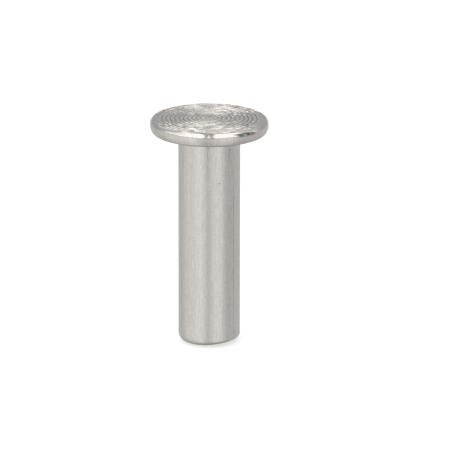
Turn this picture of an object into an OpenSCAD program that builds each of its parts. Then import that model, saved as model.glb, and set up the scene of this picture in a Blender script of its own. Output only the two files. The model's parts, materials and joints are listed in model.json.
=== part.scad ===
// Brake lining rivet: a solid round shank with a low flat head, upset from one
// piece of soft metal. The head's top carries fine concentric rings out to a
// crisp edge, where a smooth shoulder rolls over into a barrelled rim.
// Sizes are in millimetres. The shank's end face stands on z = 0, centred on the
// origin. The axis is +Z and the head is at the top.

/* [Shank] */

// Diameter of the plain shank
shank_diameter = 4; // [3:0.1:6]

// Length of the shank, from its end face to the seat under the head
shank_length = 14.05; // [6:0.05:30]

// Radius of the rolled edge at the shank's end
end_edge_radius = 0.45; // [0.1:0.05:1]

// Radius of the fillet where the shank meets the seat under the head
seat_fillet_radius = 0.15; // [0.05:0.05:0.4]

/* [Head] */

// Diameter of the head at its widest
head_diameter = 7.65; // [6.4:0.05:12]

// Thickness of the head, from the seat to the middle of its top
head_thickness = 0.92; // [0.8:0.01:1.4]

// Height of the widest level above the seat
widest_height = 0.54; // [0.4:0.01:0.65]

// Radius of the barrelled rim, from the widest level down
rim_radius = 1.05; // [0.75:0.05:2]

// Radius of the rim's lower edge, next to the seat
lower_edge_radius = 0.2; // [0.05:0.05:0.25]

/* [Ringed top] */

// Width of the smooth shoulder outside the ringed top's crisp edge
shoulder_width = 0.2; // [0.05:0.05:0.3]

// Rise of the top from its edge to its middle
top_crown = 0.04; // [0.02:0.01:0.1]

// Number of concentric rings across the top's radius
ring_count = 13; // [6:1:18]

// Depth of one ring's hollow
ring_depth = 0.02; // [0.01:0.005:0.03]

/* [Hidden] */

metal = [0.78, 0.77, 0.74];

shank_radius = shank_diameter / 2;
head_radius = head_diameter / 2;
top_radius = head_radius - shoulder_width;
total_length = shank_length + head_thickness;
top_edge_z = total_length - top_crown;
widest_z = shank_length + widest_height;
ring_pitch = top_radius / ring_count;

// The shoulder's arc stands upright at the widest level and ends at the top's
// edge, which gives its radius and how far it sweeps.
shoulder_rise = top_edge_z - widest_z;
shoulder_radius = (pow(shoulder_width, 2) + pow(shoulder_rise, 2)) / (2 * shoulder_width);
shoulder_sweep = atan2(shoulder_rise, shoulder_radius - shoulder_width);

// The rim's arc runs down from the widest level until the lower edge's arc,
// which ends level with the seat, takes over without a corner.
rim_centre_radius = head_radius - rim_radius;
rim_fall = asin((widest_height - lower_edge_radius) / (rim_radius - lower_edge_radius));
lower_edge_centre_radius = rim_centre_radius + (rim_radius - lower_edge_radius) * cos(rim_fall);

// Straight steps along each arc, and across each ring's hollow.
arc_steps = 8;
ring_steps = 4;
round_steps = 96;

// Points along an arc, as radius and height, without its first point.
function arc(centre_r, centre_z, radius, from, to) = [
    for (i = [1 : arc_steps])
        let (turn = from + (to - from) * i / arc_steps)
        [centre_r + radius * cos(turn), centre_z + radius * sin(turn)]
];

// Height of the crowned top, before the rings are cut.
function crown_z(r) = total_length - top_crown * pow(r / top_radius, 2);

// Depth below the crown, across one ring from 0 to 1.
function hollow(across) = ring_depth * (1 - pow(2 * across - 1, 2));

// The ringed top, from inside its edge in to the axis.
function ring_points() = concat(
    [
        for (ring = [ring_count : -1 : 1], step = [1 : ring_steps])
            let (across = step / ring_steps, r = ring_pitch * (ring - across))
            if (r > 0) [r, crown_z(r) - hollow(across)]
    ],
    [[0, total_length]]
);

// Half section of the whole rivet, anticlockwise from the middle of its end.
function half_section() = concat(
    [[0, 0], [shank_radius - end_edge_radius, 0]],
    arc(shank_radius - end_edge_radius, end_edge_radius, end_edge_radius, -90, 0),
    [[shank_radius, shank_length - seat_fillet_radius]],
    arc(shank_radius + seat_fillet_radius, shank_length - seat_fillet_radius,
        seat_fillet_radius, 180, 90),
    [[lower_edge_centre_radius, shank_length]],
    arc(lower_edge_centre_radius, shank_length + lower_edge_radius,
        lower_edge_radius, -90, -rim_fall),
    arc(rim_centre_radius, widest_z, rim_radius, -rim_fall, 0),
    arc(head_radius - shoulder_radius, widest_z, shoulder_radius, 0, shoulder_sweep),
    ring_points()
);

// Shank, rim, shoulder and ringed top are one solid turned shape.
module rivet() {
    color(metal)
        rotate_extrude($fn = round_steps)
            polygon(half_section());
}

rivet();
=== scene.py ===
import json
import math

import bpy
from mathutils import Euler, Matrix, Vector, noise


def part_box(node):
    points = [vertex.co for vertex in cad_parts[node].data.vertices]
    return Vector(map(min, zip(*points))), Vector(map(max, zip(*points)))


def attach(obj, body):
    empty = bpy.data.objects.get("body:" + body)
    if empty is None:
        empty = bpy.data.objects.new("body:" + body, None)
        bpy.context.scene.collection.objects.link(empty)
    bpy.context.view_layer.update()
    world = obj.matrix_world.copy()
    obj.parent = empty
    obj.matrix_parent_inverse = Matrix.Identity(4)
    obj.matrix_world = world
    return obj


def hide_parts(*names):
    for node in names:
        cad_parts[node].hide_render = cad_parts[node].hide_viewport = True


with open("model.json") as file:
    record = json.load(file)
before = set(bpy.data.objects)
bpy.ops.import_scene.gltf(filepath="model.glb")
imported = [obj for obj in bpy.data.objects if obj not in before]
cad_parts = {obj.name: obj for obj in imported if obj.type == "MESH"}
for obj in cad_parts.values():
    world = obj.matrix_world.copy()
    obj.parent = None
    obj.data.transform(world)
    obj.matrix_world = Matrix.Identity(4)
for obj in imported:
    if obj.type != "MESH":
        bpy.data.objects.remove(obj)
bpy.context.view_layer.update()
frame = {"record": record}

MM = 0.001

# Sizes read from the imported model, in millimetres.
MOUNTS = {mount["name"]: mount for mount in frame["record"]["mounts"]}
FAR_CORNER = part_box("rivet")[1] / MM
TOTAL_LENGTH = FAR_CORNER.z
HEAD_RADIUS = FAR_CORNER.x
SHANK_RADIUS = MOUNTS["shank"]["dims"]["r_mm"]
SEAT_Z = MOUNTS["head_seat"]["pos_m"][2] / MM

# The head's section. The shoulder's arc stands upright at the widest level and ends at
# the ringed top's edge.
TOP_CROWN = 0.04
WIDEST_HEIGHT = 0.54
SHOULDER_WIDTH = 0.2
RIM_RADIUS = 1.05
LOWER_EDGE_RADIUS = 0.2
SEAT_FILLET = 0.15
TOP_RADIUS = HEAD_RADIUS - SHOULDER_WIDTH
TOP_EDGE_Z = TOTAL_LENGTH - TOP_CROWN
WIDEST_Z = SEAT_Z + WIDEST_HEIGHT
SHOULDER_RISE = TOP_EDGE_Z - WIDEST_Z
SHOULDER_RADIUS = (SHOULDER_WIDTH ** 2 + SHOULDER_RISE ** 2) / (2 * SHOULDER_WIDTH)

# The rings left by the tool across the top. They run out toward the middle.
RING_COUNT = 13
RING_PITCH = TOP_RADIUS / RING_COUNT
RING_DEPTH = 0.028
RING_TILT = 0.03
RING_CUTS = (0.0, 0.06, 0.16, 0.32, 0.5, 0.68, 0.84, 0.94)
RUN_OUT_START = 0.1
RUN_OUT_WIDTH = 1.1

# The shank's sheared end: out of square, rolled over on its long side, sharper on the other.
END_SLANT = 0.095
END_MIDDLE_Z = 0.133
END_EDGE_RADIUS = 0.39
END_EDGE_CHANGE = 0.23
END_FLAT_RADII = (0.4, 0.8)

# The shank's straight run, from above its rolled end to 0.1 below the fillet under the head.
STRAIGHT_START_Z = 0.7
STRAIGHT_LENGTH = SEAT_Z - SEAT_FILLET - 0.8

# The head is upset a little out of square too.
HEAD_SLANT = -0.0035

# How finely the mesh is divided.
AROUND = 384
END_EDGE_STEPS = 12
STRAIGHT_STEPS = 24
FILLET_STEPS = 6
RIM_STEPS = 8
SHOULDER_STEPS = 20


class Wire:
    """A shader socket that takes part in sums, so that a mask reads as a formula."""

    def __init__(self, bench, socket):
        self.bench = bench
        self.socket = socket

    def out(self, name):
        """Another output of the same node."""
        return Wire(self.bench, self.socket.node.outputs[name])

    def _sum(self, operation, first, second):
        return self.bench.add("ShaderNodeMath", {"operation": operation}, {0: first, 1: second})

    def __add__(self, other):
        return self._sum("ADD", self, other)

    def __radd__(self, other):
        return self._sum("ADD", other, self)

    def __sub__(self, other):
        return self._sum("SUBTRACT", self, other)

    def __rsub__(self, other):
        return self._sum("SUBTRACT", other, self)

    def __mul__(self, other):
        return self._sum("MULTIPLY", self, other)

    def __rmul__(self, other):
        return self._sum("MULTIPLY", other, self)

    def __truediv__(self, other):
        return self._sum("DIVIDE", self, other)

    def __pow__(self, other):
        return self._sum("POWER", self, other)

    def __abs__(self):
        return self.bench.add("ShaderNodeMath", {"operation": "ABSOLUTE"}, {0: self})


class Bench:
    """Where one material or world is put together from nodes."""

    def __init__(self, tree):
        self.tree = tree
        tree.nodes.clear()

    def add(self, kind, settings=None, sockets=None):
        """A new node: its settings first, then the values or links of its sockets."""
        node = self.tree.nodes.new(kind)
        for name, value in (settings or {}).items():
            setattr(node, name, value)
        for name, value in (sockets or {}).items():
            if isinstance(value, Wire):
                self.tree.links.new(value.socket, node.inputs[name])
            else:
                node.inputs[name].default_value = value
        return Wire(self, node.outputs[0]) if len(node.outputs) else node

    def split(self, vector):
        """A vector's three parts."""
        parts = self.add("ShaderNodeSeparateXYZ", {}, {0: vector})
        return [parts.out(axis) for axis in ("X", "Y", "Z")]

    def vector(self, x, y, z):
        return self.add("ShaderNodeCombineXYZ", {}, {"X": x, "Y": y, "Z": z})

    def rise(self, value, low, high):
        """0 below low, 1 above high, and smooth between them."""
        settings = {"interpolation_type": "SMOOTHSTEP"}
        return self.add("ShaderNodeMapRange", settings,
                        {"Value": value, "From Min": low, "From Max": high})

    def band(self, value, low, high, soft):
        """1 from low to high and 0 outside, with edges that are soft on both sides."""
        entered = self.rise(value, low - soft, low + soft)
        return entered * (1.0 - self.rise(value, high - soft, high + soft))

    def near(self, value, middle, reach):
        """1 at the middle, down to 0 at the reach on either side."""
        return 1.0 - self.rise(abs(value - middle), reach * 0.3, reach)

    def blend(self, share, first, second):
        """The first colour where the share is 0 and the second where it is 1."""
        settings = {"data_type": "RGBA", "blend_type": "MIX"}
        mixed = self.add("ShaderNodeMix", settings, {0: share, 6: first, 7: second})
        return mixed.out(2)

    def cloud(self, x, y, z, detail, roughness):
        """Noise from about -1 to 1."""
        grey = self.add("ShaderNodeTexNoise", {}, {
            "Vector": self.vector(x, y, z), "Scale": 1.0, "Detail": detail, "Roughness": roughness})
        return grey * 2.0 - 1.0


def arc(centre_r, centre_z, radius, start, end, steps):
    """Points along an arc of the section, as radius and height, angles in degrees."""
    turns = [math.radians(start + (end - start) * i / steps) for i in range(steps + 1)]
    return [(centre_r + radius * math.cos(t), centre_z + radius * math.sin(t)) for t in turns]


def head_section():
    """From the fillet under the head, out along the seat, and over the rim to the top's edge."""
    reach = RIM_RADIUS - LOWER_EDGE_RADIUS
    fall = math.degrees(math.asin((WIDEST_HEIGHT - LOWER_EDGE_RADIUS) / reach))
    rim_centre = HEAD_RADIUS - RIM_RADIUS
    lower_centre = rim_centre + reach * math.cos(math.radians(fall))
    lower_z = SEAT_Z + LOWER_EDGE_RADIUS
    shoulder_centre = HEAD_RADIUS - SHOULDER_RADIUS
    sweep = math.degrees(math.atan2(SHOULDER_RISE, SHOULDER_RADIUS - SHOULDER_WIDTH))
    fillet_centre, fillet_z = SHANK_RADIUS + SEAT_FILLET, SEAT_Z - SEAT_FILLET
    points = arc(fillet_centre, fillet_z, SEAT_FILLET, 180, 90, FILLET_STEPS)
    points += arc(lower_centre, lower_z, LOWER_EDGE_RADIUS, -90, -fall, FILLET_STEPS)
    points += arc(rim_centre, WIDEST_Z, RIM_RADIUS, -fall, 0, RIM_STEPS)[1:]
    points += arc(shoulder_centre, WIDEST_Z, SHOULDER_RADIUS, 0, sweep, SHOULDER_STEPS)[1:]
    return points


def top_section():
    """Ring by ring from the edge in: the ring's number, the way across it, and the radius."""
    points = []
    for ring in range(RING_COUNT):
        for across in RING_CUTS:
            points.append((ring, across, TOP_RADIUS - RING_PITCH * (ring + across)))
    return points[1:]


# Each rule below gives a radius and a height at every heading around the axis.
def end_z(radius, heading):
    return END_MIDDLE_Z + END_SLANT * radius * math.cos(heading)


def end_flat(radius):
    return lambda heading: (radius, end_z(radius, heading))


def end_edge(turn):
    """The end's rolled edge, whose radius changes around the shank."""
    def place(heading):
        edge = END_EDGE_RADIUS - END_EDGE_CHANGE * math.cos(heading)
        radius = SHANK_RADIUS - edge + edge * math.cos(turn)
        return (radius, end_z(radius, heading) + edge + edge * math.sin(turn))
    return place


def shank_side(height):
    return lambda heading: (SHANK_RADIUS, height)


def head_side(radius, height):
    return lambda heading: (radius, height + HEAD_SLANT * radius * math.cos(heading))


def wander(x, y, scale, row):
    """Smooth unevenness over the top, another one for each row."""
    return noise.noise(Vector((x * scale, y * scale, row)))


def ringed_top(ring, across, radius):
    """The ringed top, where the tool has left each ring uneven along its way."""
    crown = TOTAL_LENGTH - TOP_CROWN * (radius / TOP_RADIUS) ** 2
    hollow = 1.0 - abs(2 * across - 1) ** 3
    lean = math.sin(2 * math.pi * across)
    run_out = min(max((radius - RUN_OUT_START) / RUN_OUT_WIDTH, 0.0), 1.0)

    def place(heading):
        x, y = radius * math.cos(heading), radius * math.sin(heading)
        deeper = wander(x, y, 1.5, ring * 7.3) + 0.5 * wander(x, y, 4.0, ring * 3.7)
        tilt = wander(x, y, 1.6, ring * 5.1 + 40.0)
        wear = wander(x, y, 0.7, 90.0)
        depth = RING_DEPTH * hollow * (1.0 + deeper + 0.3 * wear)
        depth = (depth + RING_TILT * tilt * lean) * run_out
        height = crown + HEAD_SLANT * x - max(depth, 0.0)
        return (radius, min(height, TOTAL_LENGTH))
    return place


def one_round(rule):
    """One round of points from a rule."""
    points = []
    for i in range(AROUND):
        heading = 2 * math.pi * i / AROUND
        radius, height = rule(heading)
        points.append((radius * math.cos(heading) * MM, radius * math.sin(heading) * MM, height * MM))
    return points


def rivet_rounds():
    """Every round of points, from the middle of the end up and over to the middle of the top."""
    rules = [end_flat(radius) for radius in END_FLAT_RADII]
    for step in range(END_EDGE_STEPS + 1):
        rules.append(end_edge(math.radians(-90 + 90 / END_EDGE_STEPS * step)))
    for step in range(STRAIGHT_STEPS + 1):
        rules.append(shank_side(STRAIGHT_START_Z + STRAIGHT_LENGTH * step / STRAIGHT_STEPS))
    rules += [head_side(*point) for point in head_section()]
    rules += [ringed_top(*point) for point in top_section()]
    return [one_round(rule) for rule in rules]


def lathe(name, rounds, low_pole, high_pole):
    """A closed mesh from rounds of points, capped by a point at each end of the axis."""
    points = [point for one in rounds for point in one] + [low_pole, high_pole]
    low, high = len(points) - 2, len(points) - 1
    last = (len(rounds) - 1) * AROUND
    faces = []
    for i in range(AROUND):
        j = (i + 1) % AROUND
        faces.append((low, j, i))
        faces.append((high, last + i, last + j))
        for step in range(len(rounds) - 1):
            a, b = step * AROUND, (step + 1) * AROUND
            faces.append((a + i, a + j, b + j, b + i))
    mesh = bpy.data.meshes.new(name)
    mesh.from_pydata(points, [], faces)
    mesh.update()
    for polygon in mesh.polygons:
        polygon.use_smooth = True
    piece = bpy.data.objects.new(name, mesh)
    bpy.context.scene.collection.objects.link(piece)
    return piece


METAL = (0.655, 0.624, 0.584, 1.0)
METAL_DARK = (0.38, 0.37, 0.35, 1.0)
# Soil colour for the marks, and the colour of the painted shade along the rings and inside the top's
# edge.
SOIL_AND_SHADE = (0.16, 0.15, 0.14, 1.0)

# The shank's roughness, and how much smoother the faced top and burnished shoulder are.
SATIN = 0.26
SMOOTHER = 0.14

# How deep the marks in the metal are, in millimetres.
TORN_DEPTH = 0.011
FINE_TORN_DEPTH = 0.004
DRAWN_DEPTH = 0.0015
FINE_DRAWN_DEPTH = 0.0008
GRAIN_DEPTH = 0.0006

# Marks, each as its middle and reach across and, but for the line down the front, along. All but that
# line are handling marks.
FRONT_LINE = (-0.085, 0.05)
SCRATCH = (1.57, 0.04, 6.3, 8.0)
ROUND_PIT = (0.64, 0.07, 11.12, 0.09)
BROKEN_PITS = ((1.31, 0.13, 13.25, 0.08), (1.28, 0.04, 12.9, 0.35))
FRONT_SMEAR = (-1.18, 0.38, -2.95, 0.16)
BACK_SMEAR = (0.78, 0.16, 0.99, 0.35)


def aluminium():
    """Soft bright metal: faced top, burnished shoulder, plain rim and satin drawn shank."""
    material = bpy.data.materials.new("aluminium")
    material.use_nodes = True
    bench = Bench(material.node_tree)
    rise, near, cloud, blend = bench.rise, bench.near, bench.cloud, bench.blend
    spot = bench.add("ShaderNodeTexCoord").out("Object")
    x, y, z = (part * (1 / MM) for part in bench.split(spot))
    radius = (x * x + y * y) ** 0.5
    east, north = x / radius, y / radius

    # Where each part of the rivet is.
    on_head = rise(z, SEAT_Z - 0.05, SEAT_Z + 0.05)
    on_shank = 1.0 - on_head
    above_shoulder = rise(z, WIDEST_Z + 0.15, WIDEST_Z + 0.25)
    inside_edge = 1.0 - rise(radius, TOP_RADIUS - 0.02, TOP_RADIUS)
    on_top = above_shoulder * inside_edge
    on_shoulder = rise(z, WIDEST_Z, WIDEST_Z + 0.1) * (1.0 - inside_edge)

    # Marks torn by the tool on the top, drawn along the shank, and fine grain everywhere. The
    # factors say how fine each pattern is around the rivet and across or along it.
    torn = cloud(east * 7.0, north * 7.0, radius * 7.0, 4.0, 0.65)
    fine_torn = cloud(east * 30.0, north * 30.0, radius * 26.0, 2.0, 0.6)
    drawn = cloud(east * 16.0, north * 16.0, z * 0.12, 3.0, 0.6)
    fine_drawn = cloud(east * 50.0, north * 50.0, z * 1.5, 3.0, 0.7)
    grain = cloud(x * 9.0, y * 9.0, z * 6.0, 3.0, 0.7)
    height = on_top * (torn * TORN_DEPTH + fine_torn * FINE_TORN_DEPTH)
    height = height + on_shank * (drawn * DRAWN_DEPTH + fine_drawn * FINE_DRAWN_DEPTH)
    height = height + (1.0 - on_top) * grain * GRAIN_DEPTH
    bump = bench.add("ShaderNodeBump", {}, {"Strength": 1.0, "Distance": MM, "Height": height})

    # Painted shade: dark thin lines where one ring meets the next, in patches and less by the edge,
    # and a painted dark line just inside the edge, strongest at the front.
    around = radius * (2 * math.pi / RING_PITCH)
    ring_wave = bench.add("ShaderNodeMath", {"operation": "COSINE"}, {0: around})
    patchy = cloud(x * 0.9, y * 0.9, 3.0, 1.0, 0.5)
    painted_ring_shade = (ring_wave * 0.5 + 0.5) ** 6.0 * on_top * (0.9 + 0.5 * torn + 0.75 * patchy)
    painted_ring_shade = painted_ring_shade * (1.0 - 0.7 * rise(radius, TOP_RADIUS * 0.84, TOP_RADIUS * 0.94))
    # Painted shade: a dark line just inside the top's edge, strongest at the front.
    painted_edge_shade = near(radius, TOP_RADIUS - 0.1, 0.13) * above_shoulder
    painted_edge_shade = painted_edge_shade * (1.0 - 0.8 * rise(north, -0.92, -0.7))

    # The metal's own tone, streaked along the shank.
    streaks = drawn * (0.5 - 0.35 * on_head) + fine_drawn * 1.4
    tone = 0.5 + streaks * (1.0 - on_top) * (1.0 - on_shoulder * 0.7) + grain * 0.9
    tone = tone + torn * on_top * 0.4
    colour = blend(rise(tone, -0.3, 1.3) * 0.5, METAL, METAL_DARK)
    # Painted shade: the ring lines and the line inside the top's edge darken the colour.
    colour = blend(painted_ring_shade * 0.9 + painted_edge_shade, colour, SOIL_AND_SHADE)

    # Marks: a thin broken dark line down the front from the rim, and handling marks: a broken scratch
    # on the right, pits and smears.
    def mark(across, along, place):
        middle, reach, middle_along, reach_along = place
        return near(across, middle, reach) * near(along, middle_along, reach_along)

    at_front = 1.0 - rise(y, -0.1, 0.1)
    spots = cloud(x * 9.0, y * 9.0, z * 2.5, 2.0, 0.6)
    broken = rise(spots, -0.15, 0.25)
    front_line = near(x, *FRONT_LINE) * rise(z, 10.8, 13.2) * (1.0 - on_top)
    front_line = front_line * broken * (1.0 - 0.7 * on_head)
    scratch = mark(x, z, SCRATCH) * (0.35 + 0.65 * broken) * on_shank
    pits = mark(x, z, ROUND_PIT)
    for place in BROKEN_PITS:
        pits = pits + mark(x, z, place) * broken
    marks = at_front * (front_line * 0.45 + scratch * 0.5 + pits * 0.6 * on_shank)
    smears = mark(x, y, FRONT_SMEAR) * 1.8 + mark(x - y * 0.6, y, BACK_SMEAR)
    marks = marks + smears * on_top * 0.5
    colour = blend(marks, colour, SOIL_AND_SHADE)

    roughness = SATIN - on_top * SMOOTHER - on_shoulder * SMOOTHER + grain * 0.02
    skin = bench.add("ShaderNodeBsdfPrincipled", {}, {
        "Base Color": colour, "Metallic": 1.0, "Roughness": roughness, "Normal": bump})
    bench.add("ShaderNodeOutputMaterial", {}, {"Surface": skin})
    return material


def make_rivet():
    rounds = rivet_rounds()
    piece = lathe("rivet_dressed", rounds, (0, 0, END_MIDDLE_Z * MM), (0, 0, TOTAL_LENGTH * MM))
    piece.data.materials.append(aluminium())
    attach(piece, "root")
    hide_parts("rivet")


FLOOR_SIZE = 6.0
FLOOR_GREY = (0.5, 0.5, 0.5, 1.0)
FLOOR_GLOW = 0.55


def make_floor():
    """A pale floor that keeps the rivet's shadow and doesn't show in the metal."""
    half = FLOOR_SIZE / 2
    corners = [(-half, -half, 0), (half, -half, 0), (half, half, 0), (-half, half, 0)]
    mesh = bpy.data.meshes.new("floor")
    mesh.from_pydata(corners, [], [(0, 1, 2, 3)])
    floor = bpy.data.objects.new("floor", mesh)
    bpy.context.scene.collection.objects.link(floor)
    floor.visible_glossy = False
    material = bpy.data.materials.new("pale_floor")
    material.use_nodes = True
    bench = Bench(material.node_tree)
    seen = bench.add("ShaderNodeLightPath").out("Is Camera Ray")
    paper = bench.add("ShaderNodeBsdfDiffuse", {}, {"Color": FLOOR_GREY})
    glow = bench.add("ShaderNodeEmission", {}, {"Strength": seen * FLOOR_GLOW})
    both = bench.add("ShaderNodeAddShader", {}, {0: paper, 1: glow})
    bench.add("ShaderNodeOutputMaterial", {}, {"Surface": both})
    mesh.materials.append(material)


# The tent's light. Azimuths turn from the front to the right and elevations go up, in degrees.
# Plain heights run from -1, straight down, to 1, straight up.
TENT_LEVEL = 0.8
WALL_LEVEL = 0.875

# Low down: beams as azimuth, narrowness and level, then the shade underneath as the heights
# that it fades between and its amount.
LOW_BEAMS = ((-74.0, 200.0, 0.05), (-60.0, 11.0, 0.33), (-34.0, 450.0, 0.24), (-12.0, 300.0, 0.05),
             (29.0, 115.0, 0.46), (62.0, 60.0, 0.03), (86.0, 40.0, 0.05))
SHADES = ((-0.8, -0.35, 0.22), (-0.97, -0.88, 0.25))

# Soft boxes to the left and right of the camera, from this elevation up, joined over the top.
# The left one is weaker by its outer edge, and the right one fades away between two azimuths.
FRONT_LOW = 14.0
FRONT_LEVEL = 1.25
LEFT_BOX = (-98.0, 0.0)
LEFT_EDGE_LEVEL = 0.6
RIGHT_FADE = (75.0, 125.0)

# The slit between the boxes and the small light in it, both as their sides. The slit is darker
# than the wall by the first amount, and above the horizon by the second too.
SLIT = (-0.118, 0.112)
SLIT_DARK = 0.09
SLIT_DARKER = 0.25
SMALL_LIGHT = (-0.056, 0.056)
SMALL_LEVEL = 1.2

# A dark stand before the right box, with bars as the azimuths they lie between and how much
# darker than the stand they are. Below 0 they are lighter.
STAND_SIDES = (58.5, 98.0)
STAND_HEIGHT = (-13.0, 49.0)
STAND_DARK = 0.44
STAND_BARS = ((62.0, 67.0, 0.22), (70.0, 76.0, -0.3), (78.8, 83.2, 0.42), (84.8, 88.0, -0.3),
              (89.0, 96.0, 0.25))
STAND_LEAN = 0.15

# Behind: grey up to this elevation, and one beam above it, weaker straight behind.
BACK_LOW = 29.0
BACK_DARK = 0.19
BACK_BEAM = (-175.0, 100.0)
BACK_LEVEL = 2.3

COOL = (0.94, 0.985, 1.05, 1.0)
WARM = (1.008, 1.0, 0.985, 1.0)
PLAIN = (1.0, 1.0, 1.0, 1.0)


def make_tent():
    """A tent of light around the rivet, painted by direction. The camera sees it as plain white."""
    world = bpy.data.worlds.new("tent")
    bpy.context.scene.world = world
    world.use_nodes = True
    bench = Bench(world.node_tree)
    rise, band = bench.rise, bench.band
    x, y, z = bench.split(bench.add("ShaderNodeTexCoord").out("Generated"))
    ahead = -1.0 * y
    flat = (x * x + y * y) ** 0.5
    east, front = x / flat, ahead / flat
    azimuth = bench.add("ShaderNodeMath", {"operation": "ARCTAN2"}, {0: x, 1: ahead})
    azimuth = azimuth * (180 / math.pi)
    elevation = bench.add("ShaderNodeMath", {"operation": "ARCSINE"}, {0: z}) * (180 / math.pi)
    at_front = rise(front, -0.55, -0.25)
    behind = 1.0 - at_front
    above_back = rise(elevation, BACK_LOW, BACK_LOW + 6.0)

    def beam(toward_azimuth, narrowness):
        toward = math.radians(toward_azimuth)
        along = east * math.sin(toward) + front * math.cos(toward)
        return rise(along, -1.0, 1.0) ** narrowness

    # Low down, what the shank and the rim see: lighter at the left and in two upright strips.
    low = 0.0
    for toward, narrowness, level in LOW_BEAMS:
        low = beam(toward, narrowness) * level + low
    tent = WALL_LEVEL + low * (1.0 - rise(z, -0.05, 0.25))
    for start, end, amount in SHADES:
        tent = tent - (1.0 - rise(z, start, end)) * amount

    # The slit, its small light that narrows upward, and the stand.
    strip = x / (1.6 - 0.8 * z)
    slit = band(strip, *SLIT, 0.012) * (1.0 - rise(y, 0.38, 0.48))
    small = band((strip + 0.006) / (1.0 - 0.6 * z), *SMALL_LIGHT, 0.01)
    small = small * (1.0 - rise(z, 0.94, 0.99))
    stand = band(azimuth, *STAND_SIDES, 1.5) * band(elevation, *STAND_HEIGHT, 4.0)

    # The soft boxes, cut by the slit and the stand.
    left = rise(azimuth, -80.0, -55.0)
    left = band(azimuth, *LEFT_BOX, 1.0) * (LEFT_EDGE_LEVEL + (1.0 - LEFT_EDGE_LEVEL) * left)
    right = rise(azimuth, -1.0, 1.0) * (1.0 - rise(azimuth, *RIGHT_FADE))
    roof = rise(z, 0.84, 0.9) * (1.0 - left - right)
    boxes = (left + right + roof) * (1.0 - slit) * (1.0 - stand)
    boxes = boxes + small * slit * SMALL_LEVEL
    boxes = boxes * rise(elevation, FRONT_LOW - 1.0, FRONT_LOW + 1.0) * FRONT_LEVEL

    # What darkens the front: the stand with its bars, and the slit.
    dark = stand * STAND_DARK + slit * (SLIT_DARK + SLIT_DARKER * rise(elevation, 0.0, 8.0))
    turn = azimuth - elevation * STAND_LEAN
    for start, end, amount in STAND_BARS:
        dark = dark + band(turn, start, end, 1.2) * amount * stand

    # Behind, grey above the horizon and light above that.
    straight = rise(abs(azimuth), 166.0, 176.0)
    above = beam(*BACK_BEAM) * above_back
    above = above * (1.0 - 0.6 * straight) * (1.0 - slit) * BACK_LEVEL
    grey = behind * band(elevation, 0.0, BACK_LOW, 4.0) * BACK_DARK
    tent = tent + boxes - dark + above - grey

    seen = bench.add("ShaderNodeLightPath").out("Is Camera Ray")
    brightness = tent * TENT_LEVEL * (1.0 - seen) + seen
    tint = bench.blend(stand * at_front, PLAIN, COOL)
    tint = bench.blend(above_back * behind, tint, WARM)
    tint = bench.blend(seen, tint, PLAIN)
    sky = bench.add("ShaderNodeBackground", {}, {"Color": tint, "Strength": brightness})
    bench.add("ShaderNodeOutputWorld", {}, {"Surface": sky})


# The camera stands in front, a little above the rivet. Distances are in millimetres, the focus
# and the rivet's place in the frame in picture points.
FRAME_SIDE = 452
VIEW_ELEVATION = 17.1
VIEW_DISTANCE = 323.6
VIEW_FOCUS = 5000.0
RIVET_LEFT = 16.74
RIVET_DOWN = 3.15
RIVET_LEAN = 0.10
SENSOR = 36.0


def make_camera():
    data = bpy.data.cameras.new("camera")
    data.sensor_width = SENSOR
    data.lens = VIEW_FOCUS / FRAME_SIDE * SENSOR
    data.clip_start = 0.01
    data.clip_end = 10.0
    camera = bpy.data.objects.new("camera", data)
    bpy.context.scene.collection.objects.link(camera)
    rise = math.radians(VIEW_ELEVATION)
    back = Vector((0.0, -math.cos(rise), math.sin(rise)))
    up = Vector((0.0, math.sin(rise), math.cos(rise)))
    right = Vector((1.0, 0.0, 0.0))
    point = VIEW_DISTANCE / VIEW_FOCUS
    middle = Vector((0.0, 0.0, TOTAL_LENGTH / 2))
    place = middle + back * VIEW_DISTANCE + right * RIVET_LEFT * point + up * RIVET_DOWN * point
    camera.location = place * MM
    camera.rotation_euler = Euler((math.radians(90) - rise, 0.0, 0.0))
    camera.rotation_euler.rotate_axis("Z", math.radians(RIVET_LEAN))
    bpy.context.scene.camera = camera


def main():
    make_rivet()
    make_floor()
    make_tent()
    make_camera()
    bpy.context.scene.view_settings.view_transform = "Standard"


main()
